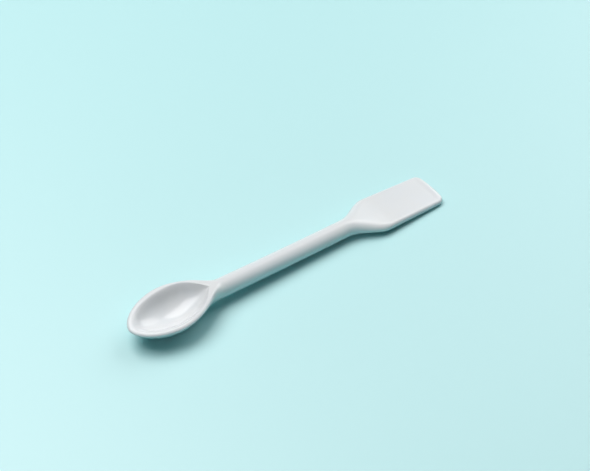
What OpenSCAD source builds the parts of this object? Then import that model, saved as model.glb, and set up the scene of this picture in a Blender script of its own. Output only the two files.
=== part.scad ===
// Spoon spatula of glazed porcelain for the laboratory: an egg-shaped bowl, a round handle
// and a flat blade, fired as one piece.
// It lies as it comes to rest, on the bottom of the bowl and the end of the blade.
// X runs from the bowl to the blade and Z is up. The origin is under the middle of the length.
// The body is a loft: every section across it is shaped by guide curves that run along it.

/* [Overall] */
// length from the tip of the bowl to the end of the blade
total_l = 150; // [140:1:175]

/* [Bowl] */
// length of the bowl from its tip to the start of the handle
bowl_l = 37.4; // [35:0.1:42]
// width of the bowl where it is widest
bowl_w = 24.4; // [22:0.1:28]
// distance from the tip to the widest place
belly_x = 18.2; // [16:0.1:20]
// shape of the tip: 2 is a true ellipse, less is more pointed
tip_power = 1.8; // [1.6:0.05:2.2]
// height of the rim's outer edge above the table, at the tip
rim_z_tip = 7.6; // [7:0.1:9]
// height of the rim's outer edge above the table, at the handle
rim_z_root = 9.6; // [9:0.1:11]
// slope of the bowl's wall where it meets the rim, in degrees
wall_deg = 58; // [50:1:72]
// length of the hollow from the lip at the tip to its point at the handle
hollow_l = 33.1; // [30:0.1:34.5]
// depth of the hollow below the top of the lip
hollow_d = 6.4; // [5:0.1:7]
// fullness of the hollow towards its point: 1 is slender, more is blunter
point_power = 1.7; // [1.2:0.05:1.8]

/* [Lip] */
// width of the lip around the hollow
lip_w = 2.9; // [2.4:0.1:3.4]
// rise of the lip's top above its outer edge
lip_rise = 0.9; // [0.6:0.1:1.2]
// width of the rounding along the lip's outer edge
lip_round = 1.4; // [1:0.1:1.8]
// how far the rounding of the lip's inner edge drops it
lip_soft = 0.5; // [0.2:0.1:0.6]

/* [Handle] */
// width of the handle at the bowl
grip_w_root = 8.1; // [7:0.1:9]
// width of the handle at the neck
grip_w_neck = 8.1; // [7:0.1:9]
// thickness of the handle at the bowl
grip_t_root = 7.6; // [6.4:0.1:8]
// thickness of the handle at the neck
grip_t_neck = 6.9; // [5.8:0.1:7.2]
// height of the handle's middle line above the table, at the bowl
grip_z_root = 6.1; // [5.8:0.1:7]
// height of the handle's middle line above the table, at the neck
grip_z_neck = 3.6; // [3.5:0.1:4.4]
// how far the middle line sags below a straight one
grip_sag = 0.4; // [0:0.1:0.6]
// length before the handle over which the bowl draws in to it
root_in = 7; // [5:0.5:10]
// length of the handle over which the bowl's lip runs out
root_out = 4; // [3:0.5:8]
// length of the handle over which the bowl's underside runs out
keel_out = 10; // [6:0.5:14]
// reach of the fillet in the corner between bowl and handle
root_fillet = 1.6; // [1:0.1:4]

/* [Blade] */
// length of the blade beyond its shoulders
blade_l = 31.1; // [26:0.1:36]
// length of the slanting shoulders
shoulder_l = 16.2; // [12:0.2:20]
// length over which the handle thins down to the blade
thin_l = 19.2; // [16:0.2:22]
// width of the blade at the shoulders
blade_w_neck = 20.6; // [16:0.1:24]
// width of the blade at the end
blade_w_end = 19.3; // [16:0.1:24]
// thickness of the blade at the shoulders
blade_t_neck = 3.2; // [2.6:0.1:4]
// thickness of the blade at the end
blade_t_end = 2.6; // [2:0.1:3]
// height of the blade's middle above the table, at the shoulders
blade_z_neck = 2.7; // [2.4:0.1:4]
// width of the rounding along the blade's sides
side_round = 1.5; // [0.8:0.1:1.8]
// radius of the blade's two corners
corner_r = 2.8; // [1:0.1:4]
// how far the middle of the end bows out past the corners
end_bow = 0.8; // [0:0.1:2]
// length over which the end is rounded off
end_l = 2; // [1:0.1:3]
// thickness left at the very end
end_t = 1.2; // [0.8:0.1:1.6]

/* [Hidden] */

// places along the length, measured from the tip; the blade rests on the table at rest_x
hollow_end = lip_w + hollow_l;
bowl_end = belly_x + (bowl_l - belly_x) * 90 / acos(grip_w_root / bowl_w);
root_from = bowl_l - root_in;
root_to = bowl_l + root_out;
shoulder = total_l - blade_l;
neck = shoulder - shoulder_l;
thin_to = neck + thin_l;
end_from = total_l - end_l;
corner_from = total_l - max(end_l, corner_r);
rest_x = corner_from - end_bow;

// sections in each stretch, and columns of points across half a section
tip_n = 36;
root_n = 14;
grip_n = 16;
neck_n = 14;
blade_n = 5;
end_n = 6;
floor_n = 7;
lip_n = 8;
half_n = floor_n + lip_n;
first_x = 0.02;

function mix(a, b, t) = a + (b - a) * t;
function clip(t) = min(max(t, 0), 1);
function ease(t) = let (c = clip(t)) c * c * (3 - 2 * c);
function rounded(t) = sqrt(1 - pow(1 - clip(t), 2));
function soft_max(a, b, reach) = max(a, b) + pow(max(reach - abs(a - b), 0), 2) / (4 * reach);

// How far each stretch has taken over from the one before it, from 0 to 1.
function into_grip(x) = ease((x - root_from) / (root_to - root_from));
function into_blade(x) = ease((x - neck) / thin_l);
function along_grip(x) = (x - bowl_l) / (shoulder - bowl_l);
function along_blade(x) = clip((x - shoulder) / (rest_x - shoulder));

// Half the width of an egg-shaped outline with its blunt end at tip. Past its tail it goes below 0.
function egg(x, tip, tail, half, power) =
    x <= tip ? 0
    : x < belly_x ? half * pow(1 - pow((belly_x - x) / (belly_x - tip), tip_power), 1 / tip_power)
    : x < tail ? half * cos(90 * pow((x - belly_x) / (tail - belly_x), power))
    : tail - x;

function bowl_half(x) = egg(x, 0, bowl_end, bowl_w / 2, 1);
function hollow_edge(x) = egg(x, lip_w, hollow_end, bowl_w / 2 - lip_w, point_power);

function shaft_half(x) =
    let (grip = mix(grip_w_root, grip_w_neck, (x - bowl_l) / (neck - bowl_l)))
    let (blade = mix(blade_w_neck, blade_w_end, along_blade(x)))
    mix(grip, blade, ease((x - neck) / shoulder_l)) / 2;

function corner_cut(x) =
    let (over = max(0, x - total_l + corner_r))
    corner_r - sqrt(corner_r * corner_r - over * over);

// The outline of the whole piece, with a fillet where the bowl's sides meet the handle's.
function half_width(x) =
    x < belly_x ? bowl_half(x)
    : soft_max(bowl_half(x), shaft_half(x) - corner_cut(x), root_fillet);

// A dish in section: 1 deep in the middle and 0 at the rim, along an arc that meets it at wall_deg.
arc_r = 1 / sin(wall_deg);
arc_c = 1 / tan(wall_deg);
function dish(t) = (sqrt(arc_r * arc_r - pow(clip(t), 2)) - arc_c) / (arc_r - arc_c);

// The rim slants up to the handle, and the bowl is as deep as brings its lowest point to the table.
rim_slope = (rim_z_root - rim_z_tip) / bowl_l;
function rim_z(x) = rim_z_tip + rim_slope * x;
bowl_d = (arc_r - arc_c) * (rim_z(belly_x) * arc_c
    + arc_r * sqrt(pow(rim_z(belly_x), 2) - pow(rim_slope * belly_x, 2)));

// Middle height and half thickness of the handle and the blade.
function grip_z(x) =
    let (t = min(along_grip(x), 1))
    mix(grip_z_root, grip_z_neck, t) - grip_sag * 4 * t * (1 - t);
function shaft_z(x) = mix(grip_z(x), mix(blade_z_neck, blade_t_end / 2, along_blade(x)), into_blade(x));
function shaft_t(x) =
    let (grip = mix(grip_t_root, grip_t_neck, clip(along_grip(x))))
    let (blade = mix(blade_t_neck, blade_t_end, along_blade(x)))
    mix(grip, blade, into_blade(x)) / 2;
function end_thin(x) =
    mix(end_t / blade_t_end, 1, sqrt(1 - pow(clip((x - end_from) / end_l), 2)));

// Where a point of a section lies along the length: the blade's sections bow out to the end.
function lie(x, y) = x - end_bow * pow(along_blade(x) * y / (blade_w_end / 2), 2);

// Width of the rounding at the sides. The lip's flat top ends in a point on the handle,
// which is rounded all over, and the blade is rounded along its edges only.
function side_r(x) =
    let (w = half_width(x))
    let (lip = max(lip_round, w - bowl_half(x) + lip_round))
    min(w, mix(min(w, lip), side_round, into_blade(x)));

// Distance in from the outline. Around the tip it is taken along the line to the belly's middle.
function inset(x, y) =
    let (f = (belly_x - x) / belly_x)
    let (q = pow(pow(max(f, 0), tip_power) + pow(y / (bowl_w / 2), tip_power), 1 / tip_power))
    x < belly_x ? max(0, norm([belly_x - x, y]) * (1 - q) / max(q, 0.001))
    : half_width(x) - y;

// Share of the hollow's depth at a place. Its wall runs on past its edge and is rounded off into the lip.
edge_slope = 1 / (arc_c * (arc_r - arc_c) * (bowl_w / 2 - lip_w));
function hollow(x, y) =
    let (edge = hollow_edge(x))
    let (t = x < belly_x ? (belly_x - x) / (belly_x - lip_w) : (x - belly_x) / (hollow_end - belly_x))
    let (inside = edge <= y || t >= 1 ? 0 : dish(sqrt(t * t + (1 - t * t) * pow(y / edge, 2))))
    let (past = x < belly_x ? lip_w - inset(x, y) : y - edge)
    soft_max(inside - edge_slope * max(0, past), 0, 4 * lip_soft / hollow_d);

function top_z(x, y) =
    let (u = lie(x, y))
    mix(rim_z(x), shaft_z(u), into_grip(x))
    + mix(lip_rise, shaft_t(u) * end_thin(x), into_grip(x)) * rounded(inset(x, y) / side_r(x))
    - hollow_d * hollow(x, y);

function under_z(x, y) =
    let (u = lie(x, y))
    let (w = half_width(x))
    let (t = x < belly_x ? (belly_x - x) / belly_x : (x - belly_x) / (bowl_l + keel_out - belly_x))
    let (s = clip(t))
    let (bowl = rim_z(x) - bowl_d * dish(sqrt(s * s + (1 - s * s) * pow(y / w, 2))))
    let (shaft = shaft_z(u) - shaft_t(u) * end_thin(x) * rounded((w - y) / side_r(x)))
    mix(bowl, shaft, into_grip(x));

// Columns across a section crowd along the hollow's edge and along the outline.
function seam(x) =
    let (least = x < belly_x ? 0.3 : mix(0.12, 0.55, ease((x - hollow_end) / 12)))
    max(hollow_edge(x), least * half_width(x));
function column(x, j) =
    let (a = abs(j))
    sign(j) * (a <= floor_n ? seam(x) * sin(90 * a / floor_n)
        : mix(seam(x), half_width(x), (1 - cos(180 * (a - floor_n) / lip_n)) / 2));

function spread(from, to, n) = [for (i = [0 : n - 1]) mix(from, to, i / n)];
sections = concat(
    [for (i = [0 : tip_n - 1]) mix(first_x, root_from, 1 - cos(90 * i / tip_n))],
    spread(root_from, root_to, root_n),
    spread(root_to, neck, grip_n),
    spread(neck, thin_to, neck_n),
    spread(thin_to, corner_from, blade_n),
    [for (i = [0 : end_n]) mix(corner_from, total_l, sin(90 * i / end_n))]);
last = len(sections) - 1;

function place(x, y, z) = [lie(x, y) - total_l / 2, y, z];

// Points of the upper skin, then those of the lower skin inside the outline that both share.
skin = concat(
    [for (x = sections) for (j = [-half_n : half_n])
        let (y = column(x, j)) place(x, y, top_z(x, abs(y)))],
    [for (x = sections) for (j = [1 - half_n : half_n - 1])
        let (y = column(x, j)) place(x, y, under_z(x, abs(y)))]);
function top_at(i, j) = i * (2 * half_n + 1) + j + half_n;
function under_at(i, j) =
    abs(j) == half_n ? top_at(i, j)
    : (last + 1) * (2 * half_n + 1) + i * (2 * half_n - 1) + j + half_n - 1;

// Two triangles for each square, split the same way on both sides of the middle.
function split(a, b, c, d, side) = side < 0 ? [[a, b, c], [a, c, d]] : [[b, c, d], [b, d, a]];
function closed(faces) = [for (f = faces) if (f[0] != f[1] && f[1] != f[2] && f[2] != f[0]) f];
walls = [for (i = [0 : last - 1]) for (j = [-half_n : half_n - 1]) each concat(
    split(top_at(i, j), top_at(i, j + 1), top_at(i + 1, j + 1), top_at(i + 1, j), j + 0.5),
    split(under_at(i + 1, j), under_at(i + 1, j + 1), under_at(i, j + 1), under_at(i, j), -j - 0.5))];
ends = closed([for (j = [-half_n : half_n - 1]) each concat(
    split(under_at(0, j), under_at(0, j + 1), top_at(0, j + 1), top_at(0, j), j + 0.5),
    split(top_at(last, j), top_at(last, j + 1), under_at(last, j + 1), under_at(last, j), -j - 0.5))]);

module spatula() {
    color([0.93, 0.94, 0.94])
    polyhedron(points = skin, faces = concat(walls, ends), convexity = 6);
}

spatula();
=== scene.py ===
import math
from types import SimpleNamespace

import bmesh
import bpy
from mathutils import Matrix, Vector


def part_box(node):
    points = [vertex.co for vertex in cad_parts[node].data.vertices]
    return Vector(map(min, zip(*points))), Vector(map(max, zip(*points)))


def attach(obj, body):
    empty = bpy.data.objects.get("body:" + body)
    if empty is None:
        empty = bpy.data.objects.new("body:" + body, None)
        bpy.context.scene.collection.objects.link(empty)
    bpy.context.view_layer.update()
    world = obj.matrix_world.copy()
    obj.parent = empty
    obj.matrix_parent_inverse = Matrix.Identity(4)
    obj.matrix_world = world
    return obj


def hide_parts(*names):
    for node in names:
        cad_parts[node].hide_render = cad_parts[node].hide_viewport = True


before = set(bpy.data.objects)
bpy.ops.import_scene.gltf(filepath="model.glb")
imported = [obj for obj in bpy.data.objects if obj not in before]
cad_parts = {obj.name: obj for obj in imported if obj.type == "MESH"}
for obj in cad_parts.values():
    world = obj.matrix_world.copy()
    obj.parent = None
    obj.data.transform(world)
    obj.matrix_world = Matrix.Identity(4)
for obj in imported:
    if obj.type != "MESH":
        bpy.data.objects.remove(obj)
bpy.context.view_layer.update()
BODY_LOW, BODY_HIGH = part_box("spatula")

bl_info = {
    "name": "Lab Spatula",
    "version": (1, 0, 0),
    "blender": (4, 5, 0),
    "location": "View3D > Sidebar > Spatula",
    "description": "Makes a spoon spatula of glazed porcelain and the stage it is shown on",
    "category": "Object",
}


class Value:
    """A socket of a node tree. An expression on it adds Math nodes to the tree."""

    def __init__(self, nodes, socket):
        self.nodes = nodes
        self.socket = socket

    def maths(self, operation, *terms, **settings):
        return self.nodes.add("ShaderNodeMath", {"operation": operation, **settings}, dict(enumerate(terms)))

    def at(self, name):
        """Another output of the same node."""
        return Value(self.nodes, self.socket.node.outputs[name])

    def __add__(self, other):
        return self.maths("ADD", self, other)

    def __radd__(self, other):
        return self.maths("ADD", other, self)

    def __sub__(self, other):
        return self.maths("SUBTRACT", self, other)

    def __rsub__(self, other):
        return self.maths("SUBTRACT", other, self)

    def __mul__(self, other):
        return self.maths("MULTIPLY", self, other)

    def __rmul__(self, other):
        return self.maths("MULTIPLY", other, self)

    def __truediv__(self, other):
        return self.maths("DIVIDE", self, other)

    def __rtruediv__(self, other):
        return self.maths("DIVIDE", other, self)

    def __pow__(self, other):
        return self.maths("POWER", self, other)

    def __lt__(self, other):
        return self.maths("LESS_THAN", self, other)

    def __gt__(self, other):
        return self.maths("GREATER_THAN", self, other)

    def max(self, other):
        return self.maths("MAXIMUM", self, other)

    def min(self, other):
        return self.maths("MINIMUM", self, other)

    def abs(self):
        return self.maths("ABSOLUTE", self)

    def sign(self):
        return self.maths("SIGN", self)

    def sqrt(self):
        return self.maths("SQRT", self)

    def sin(self):
        return self.maths("SINE", self)

    def cos(self):
        return self.maths("COSINE", self)

    def tan(self):
        return self.maths("TANGENT", self)

    def acos(self):
        return self.maths("ARCCOSINE", self)

    def clip(self):
        """Held between 0 and 1."""
        return self.maths("ADD", self, 0.0, use_clamp=True)


class Nodes:
    """A node tree that is being built."""

    def __init__(self, tree):
        self.tree = tree
        tree.nodes.clear()

    def add(self, kind, settings=None, sockets=None, out=0):
        """Adds a node: its settings first, then the values or links of its sockets. Gives one output."""
        made = self.tree.nodes.new(kind)
        for name, value in (settings or {}).items():
            setattr(made, name, value)
        for key, value in (sockets or {}).items():
            for term in value if isinstance(value, list) else [value]:
                if isinstance(term, Value):
                    self.tree.links.new(term.socket, made.inputs[key])
                else:
                    made.inputs[key].default_value = term
        return Value(self, made.outputs[out]) if len(made.outputs) else None

    def tint(self, mask, plain, tinted):
        """A colour that goes from plain to tinted as the mask goes from 0 to 1."""
        return self.add("ShaderNodeMix", {"data_type": "RGBA"}, {0: mask, 6: plain, 7: tinted}, out=2)

    def seen(self):
        """1 for what the camera sees, also mirrored or through glass, and 0 for what only gives light."""
        path = self.add("ShaderNodeLightPath", out="Is Camera Ray")
        return path.max(path.at("Is Glossy Ray")).max(path.at("Is Transmission Ray"))

    def noise(self, where, scale, detail):
        """Soft clouds between about 0.25 and 0.75."""
        return self.add("ShaderNodeTexNoise", None, {"Vector": where, "Scale": scale, "Detail": detail})


def mix(a, b, t):
    """From a to b as t goes from 0 to 1."""
    return a + (b - a) * t


def choose(test, yes, no):
    """One value where the test is 1, the other where it is 0."""
    return no + (yes - no) * test


def ease(t):
    """A smooth step from 0 to 1."""
    c = t.clip()
    return c * c * (3 - 2 * c)


def rounded(t):
    """A quarter round: 0 at 0, and 1 from 1 on."""
    c = 1 - t.clip()
    return (1 - c * c).sqrt()


def soft_max(a, b, reach):
    """The larger of two, with a fillet where they come within reach of each other."""
    near = (reach - (a - b).abs()).max(0)
    return a.max(b) + near * near / (4 * reach)


def length(name, mm, about):
    """A size given in millimetres, kept in metres."""
    return bpy.props.FloatProperty(
        name=name, description=about, default=mm / 1000, min=0.0, precision=5, unit="LENGTH")


def shape(name, value, about):
    """A bare number that sets a curve's form."""
    return bpy.props.FloatProperty(name=name, description=about, default=value, min=0.1, precision=3)


def share(name, value, about):
    """A part of 1."""
    return bpy.props.FloatProperty(
        name=name, description=about, default=value, min=0.0, max=1.0, subtype="FACTOR")


def power(name, watts, about):
    """How strong a lamp is."""
    return bpy.props.FloatProperty(name=name, description=about, default=watts, min=0.0, subtype="POWER")


def colour(name, value, about):
    """A colour in linear red, green and blue."""
    return bpy.props.FloatVectorProperty(
        name=name, description=about, default=value, size=3, min=0.0, max=1.0, subtype="COLOR")


def rgba(value):
    """A colour with full cover, as a node's socket takes it."""
    return (*value, 1.0)


class SpatulaSizes(bpy.types.PropertyGroup):
    """Sizes of the spatula, which the guide curves of its body follow."""

    total_l: length("Length", 150, "From the tip of the bowl to the end of the blade")
    bowl_l: length("Bowl length", 37.4, "From the tip of the bowl to the start of the handle")
    bowl_w: length("Bowl width", (BODY_HIGH.y - BODY_LOW.y) * 1000, "Across the bowl where it is widest")
    belly_x: length("Belly place", 18.2, "From the tip to the widest place of the bowl")
    tip_power: shape("Tip shape", 1.8, "2 is a true ellipse, less is more pointed")
    rim_z_tip: length("Rim height at the tip", 7.6, "Outer edge of the rim above the table")
    rim_z_root: length("Rim height at the handle", 9.6, "Outer edge of the rim above the table")
    wall: bpy.props.FloatProperty(
        name="Wall slope", description="Slope of the bowl's wall where it meets the rim",
        default=math.radians(58), min=0.5, max=1.5, subtype="ANGLE")
    hollow_l: length("Hollow length", 33.1, "From the lip at the tip to the hollow's point at the handle")
    hollow_d: length("Hollow depth", 6.4, "Below the top of the lip")
    point_power: shape("Point shape", 1.7, "Fullness of the hollow towards its point, where 1 is slender")
    lip_w: length("Lip width", 2.9, "Width of the lip around the hollow")
    lip_rise: length("Lip rise", 0.9, "Top of the lip above its outer edge")
    lip_round: length("Lip rounding", 1.4, "Width of the rounding along the lip's outer edge")
    lip_soft: length("Lip softness", 0.5, "How far the rounding of the lip's inner edge drops it")
    grip_w_root: length("Handle width at the bowl", 8.1, "Across the handle")
    grip_w_neck: length("Handle width at the neck", 8.1, "Across the handle")
    grip_t_root: length("Handle thickness at the bowl", 7.6, "From top to underside")
    grip_t_neck: length("Handle thickness at the neck", 6.9, "From top to underside")
    grip_z_root: length("Handle height at the bowl", 6.1, "Middle line above the table")
    grip_z_neck: length("Handle height at the neck", 3.6, "Middle line above the table")
    grip_sag: length("Handle sag", 0.4, "How far the middle line sags below a straight one")
    root_in: length("Root before the handle", 7, "Length over which the bowl draws in to the handle")
    root_out: length("Root on the handle", 4, "Length over which the lip runs out on the handle")
    keel_out: length("Underside run-out", 10, "Length of handle over which the bowl's underside runs out")
    root_fillet: length("Root fillet", 1.6, "Reach of the fillet between bowl and handle")
    blade_l: length("Blade length", 31.1, "Beyond the shoulders")
    shoulder_l: length("Shoulder length", 16.2, "Length of the slanting shoulders")
    thin_l: length("Thinning length", 19.2, "Length over which the handle thins down to the blade")
    blade_w_neck: length("Blade width at the shoulders", 20.6, "Across the blade")
    blade_w_end: length("Blade width at the end", 19.3, "Across the blade")
    blade_t_neck: length("Blade thickness at the shoulders", 3.2, "From face to face")
    blade_t_end: length("Blade thickness at the end", 2.6, "From face to face")
    blade_z_neck: length("Blade height at the shoulders", 2.7, "Middle above the table")
    side_round: length("Side rounding", 1.5, "Width of the rounding along the blade's sides")
    corner_r: length("Corner radius", 2.8, "Radius of the blade's two corners")
    end_bow: length("End bow", 0.8, "How far the middle of the end bows out past the corners")
    end_l: length("End rounding", 2, "Length over which the end is rounded off")
    end_t: length("End thickness", 1.2, "Thickness left at the very end")


class SpatulaGlaze(bpy.types.PropertyGroup):
    """Colours and gloss of the fired glaze."""

    white: colour("Glaze", (0.73, 0.74, 0.76), "The glaze over most of the piece")
    warm: colour("Warm cloud", (0.745, 0.74, 0.735), "Faint warm clouding of the glaze")
    pooled: colour("Pooled glaze", (0.80, 0.785, 0.76), "Thick glaze in the hollow and in corners")
    thin: colour("Thin glaze", (0.785, 0.79, 0.785), "Thin glaze over the lip and the edges")
    speck: colour("Speck", (0.30, 0.26, 0.22), "Iron specks in the clay under the glaze")
    gloss: share("Roughness", 0.16, "Roughness of the clean glaze")


class SpatulaStage(bpy.types.PropertyGroup):
    """Floor, lamps and camera."""

    floor: colour("Floor", (0.45, 0.73, 0.74), "Colour of the floor under its sheen")
    bounce: colour("Floor bounce", (0.22, 0.70, 0.73), "Colour of the light that the floor throws back")
    sheen: share("Floor sheen", 0.13, "How much of the floor is satin sheen")
    satin: share("Sheen roughness", 0.5, "Roughness of the floor's sheen")
    backdrop: colour("Backdrop", (0.58, 0.84, 0.86), "Colour that the floor fades into far off")
    near: length("Backdrop start", 300, "How far from the piece the floor starts to fade")
    fade: length("Backdrop fade", 600, "Length over which the floor fades")
    sky: colour("Surround", (0.002, 0.014, 0.02), "The soft light all round")
    main_power: power("Main lamp", 13.9, "The lamp overhead, behind the piece")
    side_power: power("Side lamp", 9.0, "The lamp beyond the blade")
    front_power: power("Front lamp", 1.8, "The weak low lamp in front")
    azimuth: bpy.props.FloatProperty(
        name="Azimuth", description="Where the camera stands round the piece",
        default=math.radians(-35.65), subtype="ANGLE")
    elevation: bpy.props.FloatProperty(
        name="Elevation", description="How far the camera stands above the horizon",
        default=math.radians(44.46), subtype="ANGLE")
    distance: length("Camera distance", 550, "From the camera to the point it looks at")
    target: bpy.props.FloatVectorProperty(
        name="Camera target", description="Point on the floor that the camera looks at",
        default=(0.01104, 0.01175, 0.0), size=3, subtype="TRANSLATION")
    lens: bpy.props.FloatProperty(
        name="Lens", description="Focal length on a sensor 36 mm wide", default=80.65, min=1.0, unit="CAMERA")


def egg(s, x, tip, tail, half, power):
    """Half the width of an egg-shaped outline with its blunt end at tip, below 0 past its tail."""
    front = half * (1 - ((s.belly_x - x) / (s.belly_x - tip)).clip() ** s.tip_power) ** (1 / s.tip_power)
    back = half * (math.pi / 2 * ((x - s.belly_x) / (tail - s.belly_x)).clip() ** power).cos()
    return choose(x < s.belly_x, front, back + (tail - x).min(0))


def guide_curves(s, x):
    """What the curves along the body give for the section at x: outline, heights and thickness."""
    g = SimpleNamespace()
    g.hollow_end = s.lip_w + s.hollow_l
    shoulder = s.total_l - s.blade_l
    neck = shoulder - s.shoulder_l
    end_from = s.total_l - s.end_l
    bowl_end = s.belly_x + (s.bowl_l - s.belly_x) * (math.pi / 2) / (s.grip_w_root / s.bowl_w).acos()

    g.into_grip = ease((x - s.bowl_l + s.root_in) / (s.root_in + s.root_out))
    into_blade = ease((x - neck) / s.thin_l)
    rest_x = s.total_l - s.end_l.max(s.corner_r) - s.end_bow
    g.along_blade = ((x - shoulder) / (rest_x - shoulder)).clip()

    bowl_half = egg(s, x, 0.0, bowl_end, s.bowl_w / 2, 1.0)
    g.hollow_edge = egg(s, x, s.lip_w, g.hollow_end, s.bowl_w / 2 - s.lip_w, s.point_power)
    g.hollow_half = g.hollow_edge.max(0)
    grip_w = mix(s.grip_w_root, s.grip_w_neck, (x - s.bowl_l) / (neck - s.bowl_l))
    blade_w = mix(s.blade_w_neck, s.blade_w_end, g.along_blade)
    over = (x - s.total_l + s.corner_r).max(0)
    corner_cut = s.corner_r - (s.corner_r * s.corner_r - over * over).max(0).sqrt()
    shaft_half = mix(grip_w, blade_w, ease((x - neck) / s.shoulder_l)) / 2 - corner_cut
    g.half = choose(x < s.belly_x, bowl_half, soft_max(bowl_half, shaft_half, s.root_fillet))

    lip = (g.half - bowl_half + s.lip_round).max(s.lip_round)
    g.side_r = g.half.min(mix(g.half.min(lip), s.side_round, into_blade))
    rim_slope = (s.rim_z_root - s.rim_z_tip) / s.bowl_l
    g.rim_z = s.rim_z_tip + rim_slope * x
    g.end_thin = mix(s.end_t / s.blade_t_end, 1.0, rounded(1 - (x - end_from) / s.end_l))

    g.arc_r = 1 / s.wall.sin()
    g.arc_c = 1 / s.wall.tan()
    g.edge_slope = 1 / (g.arc_c * (g.arc_r - g.arc_c) * (s.bowl_w / 2 - s.lip_w))
    rim_belly = s.rim_z_tip + rim_slope * s.belly_x
    lean = rim_slope * s.belly_x
    g.bowl_d = (g.arc_r - g.arc_c) * (
        rim_belly * g.arc_c + g.arc_r * (rim_belly * rim_belly - lean * lean).sqrt())
    g.shoulder, g.neck, g.rest_x = shoulder, neck, rest_x
    return g


def dish(g, t):
    """A dish in section: 1 deep in the middle and 0 at the rim, along an arc."""
    c = t.clip()
    return ((g.arc_r * g.arc_r - c * c).max(0).sqrt() - g.arc_c) / (g.arc_r - g.arc_c)


def shaft(s, g, u):
    """Middle height and half thickness of the handle and the blade at u."""
    along = (u - s.bowl_l) / (g.shoulder - s.bowl_l)
    into_blade = ease((u - g.neck) / s.thin_l)
    along_blade = ((u - g.shoulder) / (g.rest_x - g.shoulder)).clip()
    t = along.min(1)
    grip_z = mix(s.grip_z_root, s.grip_z_neck, t) - s.grip_sag * 4 * t * (1 - t)
    grip_t = mix(s.grip_t_root, s.grip_t_neck, along.clip())
    blade_z = mix(s.blade_z_neck, s.blade_t_end / 2, along_blade)
    blade_t = mix(s.blade_t_neck, s.blade_t_end, along_blade)
    return mix(grip_z, blade_z, into_blade), mix(grip_t, blade_t, into_blade) / 2


# the mesh of each skin: its sections, its columns, and those from the middle to the hollow's edge
SECTIONS_ALONG = 361
COLUMNS_ACROSS = 85
COLUMNS_INSIDE = 20


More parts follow.
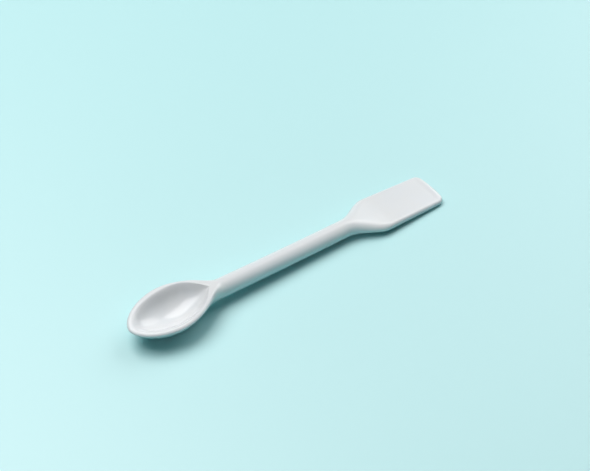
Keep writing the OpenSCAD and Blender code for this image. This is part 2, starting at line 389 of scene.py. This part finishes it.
def loft_tree(sizes, glaze):
    """The body's rule as a node tree, and the identifiers of its inputs.

    Two skins, the upper and the lower, run over one outline.
    They meet along it, in the tip and on the end."""
    tree = bpy.data.node_groups.new("spatula_loft", "GeometryNodeTree")
    tree.interface.new_socket(name="Geometry", in_out="OUTPUT", socket_type="NodeSocketGeometry")
    inputs = {}
    for key in SpatulaSizes.__annotations__:
        name = sizes.bl_rna.properties[key].name
        inputs[key] = tree.interface.new_socket(name=name, in_out="INPUT", socket_type="NodeSocketFloat")
    for key, name in (("along", "Sections along"), ("across", "Columns across")):
        inputs[key] = tree.interface.new_socket(name=name, in_out="INPUT", socket_type="NodeSocketInt")

    n = Nodes(tree)
    given = n.add("NodeGroupInput")
    s = SimpleNamespace(**{key: given.at(socket.name) for key, socket in inputs.items()})

    grid = n.add("GeometryNodeMeshGrid", None, {
        "Size X": 1.0, "Size Y": 1.0, "Vertices X": s.along, "Vertices Y": s.across})
    flat = n.add("ShaderNodeSeparateXYZ", None, {0: n.add("GeometryNodeInputPosition")})
    u = flat.at("X") + 0.5
    v = flat.at("Y") * 2

    # sections crowd at the tip and at the end, and the last few close the end
    closing = 0.985
    crowding = 0.95
    run = (u / closing).min(1)
    x = s.total_l * (run - (run * (2 * math.pi)).sin() * (crowding / (2 * math.pi)))
    shut = ((u - closing) / (1 - closing)).clip()
    g = guide_curves(s, x)

    # columns crowd along the hollow's edge and along the outline
    tip_share, point_share, shaft_share = 0.3, 0.12, 0.55
    past_point = ease((x - g.hollow_end) / 0.012)
    least = choose(x < s.belly_x, tip_share, mix(point_share, shaft_share, past_point))
    seam = g.hollow_half.max(least * g.half)
    part = v.abs()
    split = COLUMNS_INSIDE / (COLUMNS_ACROSS // 2)
    inner = seam * (part / split * (math.pi / 2)).min(math.pi / 2).sin()
    outer = (g.half - seam) * (1 - (((part - split) / (1 - split)).clip() * math.pi).cos()) / 2
    y = inner + outer

    bow = g.along_blade * y / (s.blade_w_end / 2)
    lie = x - s.end_bow * bow * bow
    shaft_z, shaft_t = shaft(s, g, lie)
    shaft_t = shaft_t * g.end_thin * (1 - shut)

    tiny = 0.000001
    ahead = s.belly_x - x
    q = ((ahead / s.belly_x).max(0) ** s.tip_power + (y / (s.bowl_w / 2)) ** s.tip_power) ** (1 / s.tip_power)
    round_tip = ((ahead * ahead + y * y).sqrt() * (1 - q) / q.max(0.001)).max(0)
    outermost = 0.9999
    inset = choose(x < s.belly_x, round_tip, g.half - y) * (part < outermost)

    t = choose(ahead > 0, ahead / (s.belly_x - s.lip_w), (0 - ahead) / (g.hollow_end - s.belly_x)).clip()
    reach = (y / g.hollow_half.max(tiny)).clip()
    past = choose(x < s.belly_x, s.lip_w - inset, y - g.hollow_edge).max(0)
    depth = dish(g, (t * t + (1 - t * t) * reach * reach).sqrt()) - g.edge_slope * past
    depth = soft_max(depth, 0.0, 4 * s.lip_soft / s.hollow_d)
    crown = rounded(inset / g.side_r)
    top = (mix(g.rim_z, shaft_z, g.into_grip) + mix(s.lip_rise, shaft_t, g.into_grip) * crown
           - s.hollow_d * depth)

    t = choose(ahead > 0, ahead / s.belly_x, (0 - ahead) / (s.bowl_l + s.keel_out - s.belly_x)).clip()
    reach = (y / g.half.max(tiny)).clip()
    keel = g.rim_z - g.bowl_d * dish(g, (t * t + (1 - t * t) * reach * reach).sqrt())
    belly = shaft_z - shaft_t * rounded((g.half - y) / g.side_r)
    under = mix(keel, belly, g.into_grip)

    side = y * v.sign()
    edge_w = 0.0016
    weld = 0.0000002
    skins = []
    for height, upper in ((top, True), (under, False)):
        spot = n.add("ShaderNodeCombineXYZ", None, {0: lie - s.total_l / 2, 1: side, 2: height})
        skin = n.add("GeometryNodeSetPosition", None, {"Geometry": grid, "Position": spot})
        marks = {"pool": depth if upper else 0.0, "edge": 1 - (inset / edge_w).clip()}
        for name, mark in marks.items():
            skin = n.add("GeometryNodeStoreNamedAttribute", {"data_type": "FLOAT", "domain": "POINT"}, {
                "Geometry": skin, "Name": name, "Value": mark})
        skins.append(skin if upper else n.add("GeometryNodeFlipFaces", None, {"Mesh": skin}))
    body = n.add("GeometryNodeJoinGeometry", None, {0: skins})
    body = n.add("GeometryNodeMergeByDistance", None, {"Geometry": body, "Distance": weld})
    body = n.add("GeometryNodeSetShadeSmooth", None, {"Geometry": body, "Shade Smooth": True})
    body = n.add("GeometryNodeRealizeInstances", None, {"Geometry": body})
    body = n.add("GeometryNodeSetMaterial", None, {"Geometry": body, "Material": glaze})
    n.add("NodeGroupOutput", None, {0: body})
    return tree, {key: socket.identifier for key, socket in inputs.items()}


def glaze_material(finish):
    """Fired white glaze: faint clouds, thick in the hollow, thin over the edges, with specks and scuffs."""
    material = bpy.data.materials.new("porcelain_glaze")
    material.use_nodes = True
    n = Nodes(material.node_tree)
    where = n.add("ShaderNodeTexCoord", out="Object")

    clouds = ((n.noise(where, 70.0, 3.0) - 0.35) * 3.3).clip()
    pool = n.add("ShaderNodeAttribute", {"attribute_name": "pool"}, out="Fac")
    edge = n.add("ShaderNodeAttribute", {"attribute_name": "edge"}, out="Fac")
    ragged = (n.noise(where, 420.0, 2.0) - 0.5) * 1.2
    pooled = ease((pool - 0.55) / 0.45 + ragged * 0.25)
    thinned = ease(edge * 1.3 - 0.3 + ragged * 0.3)

    cells = n.add("ShaderNodeTexVoronoi", None, {"Vector": where, "Scale": 260.0}, out="Distance")
    chance = n.add("ShaderNodeSeparateColor", None, {0: cells.at("Color")}, out=0)
    size = (chance - 0.90).max(0) * 0.55
    speck = ((size - cells.at("Distance")) / 0.012).clip()

    tone = n.tint(clouds * 0.6, rgba(finish.white), rgba(finish.warm))
    tone = n.tint(pooled * 0.55, tone, rgba(finish.pooled))
    tone = n.tint(thinned * 0.7, tone, rgba(finish.thin))
    tone = n.tint(speck * 0.55, tone, rgba(finish.speck))

    # scuffs from the table, where the piece rests on its bowl and its end
    height = n.add("ShaderNodeSeparateXYZ", None, {0: where}, out="Z")
    scuff_z = 0.0012
    touch = (1 - height / scuff_z).clip()
    scuff = ((n.noise(where, 900.0, 4.0) - 0.42) * 5).clip() * touch
    rough = finish.gloss + clouds * 0.05 + thinned * 0.03 + scuff * 0.28 + speck * 0.1

    waves = n.noise(where, 95.0, 1.0) + n.noise(where, 1100.0, 2.0) * 0.02 - speck * 0.04
    relief = n.add("ShaderNodeBump", None, {"Strength": 0.5, "Distance": 0.00016, "Height": waves})
    skin = n.add("ShaderNodeBsdfPrincipled", None, {
        "Base Color": tone, "Roughness": rough, "Normal": relief, "IOR": 1.52,
        "Specular IOR Level": 0.35, "Coat Weight": 0.2, "Coat Roughness": 0.12, "Coat IOR": 1.5})
    n.add("ShaderNodeOutputMaterial", None, {"Surface": skin})
    return material


class SPATULA_OT_make_body(bpy.types.Operator):
    """Makes the spatula in one piece from its guide curves"""

    bl_idname = "spatula.make_body"
    bl_label = "Make Spatula"

    def execute(self, context):
        sizes = context.scene.spatula_sizes
        tree, names = loft_tree(sizes, glaze_material(context.scene.spatula_glaze))
        body = bpy.data.objects.new("spatula_body", bpy.data.meshes.new("spatula_body"))
        context.scene.collection.objects.link(body)
        loft = body.modifiers.new("Loft", "NODES")
        loft.node_group = tree
        for key in SpatulaSizes.__annotations__:
            loft[names[key]] = getattr(sizes, key)
        loft[names["along"]] = SECTIONS_ALONG
        loft[names["across"]] = COLUMNS_ACROSS

        depsgraph = context.evaluated_depsgraph_get()
        made = bpy.data.meshes.new_from_object(
            body.evaluated_get(depsgraph), preserve_all_data_layers=True, depsgraph=depsgraph)
        body.modifiers.remove(loft)
        body.data = made
        check = bmesh.new()
        check.from_mesh(made)
        loose = sum(1 for edge in check.edges if not edge.is_manifold)
        volume = check.calc_volume(signed=True)
        check.free()
        if loose or volume <= 0:
            raise RuntimeError(f"the spatula isn't closed: {loose} open edges, volume {volume}")

        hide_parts("spatula")
        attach(body, "root")
        return {"FINISHED"}


# each lamp's place, length and width in metres
LAMPS = (
    ("main", (-0.2, 0.48, 1.05), 1.0, 0.9),
    ("side", (1.1, 0.3, 0.85), 1.0, 1.0),
    ("front", (-0.35, -1.05, 0.09), 1.4, 0.14),
)


class SPATULA_OT_set_stage(bpy.types.Operator):
    """Lays the floor and sets up the lamps and the camera"""

    bl_idname = "spatula.set_stage"
    bl_label = "Set Stage"

    def execute(self, context):
        scene = context.scene
        stage = scene.spatula_stage
        scene.view_settings.view_transform = "Standard"

        floor_mesh = bpy.data.meshes.new("floor")
        reach = 3.0
        floor_mesh.from_pydata(
            [(-reach, -reach, 0.0), (reach, -reach, 0.0), (reach, reach, 0.0), (-reach, reach, 0.0)],
            [], [(0, 1, 2, 3)])
        floor = bpy.data.objects.new("floor", floor_mesh)
        clear = 0.00002
        floor.location.z = -clear
        paint = bpy.data.materials.new("floor_paint")
        paint.use_nodes = True
        n = Nodes(paint.node_tree)
        seen = n.seen()
        matt = n.add("ShaderNodeBsdfDiffuse", None, {
            "Color": n.tint(seen, rgba(stage.bounce), rgba(stage.floor))})
        satin = n.add("ShaderNodeBsdfGlossy", None, {"Roughness": stage.satin})
        ground = n.add("ShaderNodeMixShader", None, {0: seen * stage.sheen, 1: matt, 2: satin})
        where = n.add("ShaderNodeTexCoord", out="Object")
        away = n.add("ShaderNodeVectorMath", {"operation": "LENGTH"}, {0: where}, out="Value")
        far = ease((away - stage.near) / stage.fade)
        haze = n.add("ShaderNodeEmission", None, {"Color": rgba(stage.backdrop)})
        ground = n.add("ShaderNodeMixShader", None, {0: far * seen, 1: ground, 2: haze})
        n.add("ShaderNodeOutputMaterial", None, {"Surface": ground})
        floor_mesh.materials.append(paint)
        scene.collection.objects.link(floor)

        world = bpy.data.worlds.new("surround")
        world.use_nodes = True
        n = Nodes(world.node_tree)
        sky = n.add("ShaderNodeBackground", None, {
            "Color": n.tint(n.seen(), rgba(stage.sky), rgba(stage.backdrop))})
        n.add("ShaderNodeOutputWorld", None, {"Surface": sky})
        scene.world = world

        for name, spot, long, wide in LAMPS:
            lamp_data = bpy.data.lights.new("lamp_" + name, "AREA")
            lamp_data.shape = "RECTANGLE"
            lamp_data.size, lamp_data.size_y = long, wide
            lamp_data.energy = getattr(stage, name + "_power")
            lamp = bpy.data.objects.new("lamp_" + name, lamp_data)
            lamp.location = spot
            lamp.rotation_mode = "QUATERNION"
            lamp.rotation_quaternion = (-lamp.location).to_track_quat("-Z", "Y")
            scene.collection.objects.link(lamp)

        a, e = stage.azimuth, stage.elevation
        back = Vector((math.sin(a) * math.cos(e), -math.cos(a) * math.cos(e), math.sin(e)))
        camera_data = bpy.data.cameras.new("camera")
        camera_data.sensor_fit = "HORIZONTAL"
        camera_data.sensor_width = 36.0
        camera_data.lens = stage.lens
        camera_data.clip_start = 0.01
        camera = bpy.data.objects.new("camera", camera_data)
        camera.location = Vector(stage.target) + back * stage.distance
        camera.rotation_mode = "QUATERNION"
        camera.rotation_quaternion = (-back).to_track_quat("-Z", "Y")
        scene.collection.objects.link(camera)
        scene.camera = camera
        return {"FINISHED"}


class SPATULA_PT_panel(bpy.types.Panel):
    """Sizes, glaze and stage of the spatula"""

    bl_idname = "SPATULA_PT_panel"
    bl_label = "Lab Spatula"
    bl_space_type = "VIEW_3D"
    bl_region_type = "UI"
    bl_category = "Spatula"

    def draw(self, context):
        for group, operator in (("spatula_sizes", None), ("spatula_glaze", SPATULA_OT_make_body),
                                ("spatula_stage", SPATULA_OT_set_stage)):
            settings = getattr(context.scene, group)
            box = self.layout.box()
            for key in type(settings).__annotations__:
                box.prop(settings, key)
            if operator:
                self.layout.operator(operator.bl_idname)


CLASSES = (
    SpatulaSizes,
    SpatulaGlaze,
    SpatulaStage,
    SPATULA_OT_make_body,
    SPATULA_OT_set_stage,
    SPATULA_PT_panel,
)


def register():
    for cls in CLASSES:
        bpy.utils.register_class(cls)
    bpy.types.Scene.spatula_sizes = bpy.props.PointerProperty(type=SpatulaSizes)
    bpy.types.Scene.spatula_glaze = bpy.props.PointerProperty(type=SpatulaGlaze)
    bpy.types.Scene.spatula_stage = bpy.props.PointerProperty(type=SpatulaStage)


def unregister():
    del bpy.types.Scene.spatula_stage
    del bpy.types.Scene.spatula_glaze
    del bpy.types.Scene.spatula_sizes
    for cls in reversed(CLASSES):
        bpy.utils.unregister_class(cls)


def main():
    register()
    bpy.ops.spatula.make_body()
    bpy.ops.spatula.set_stage()


if __name__ == "__main__":
    main()
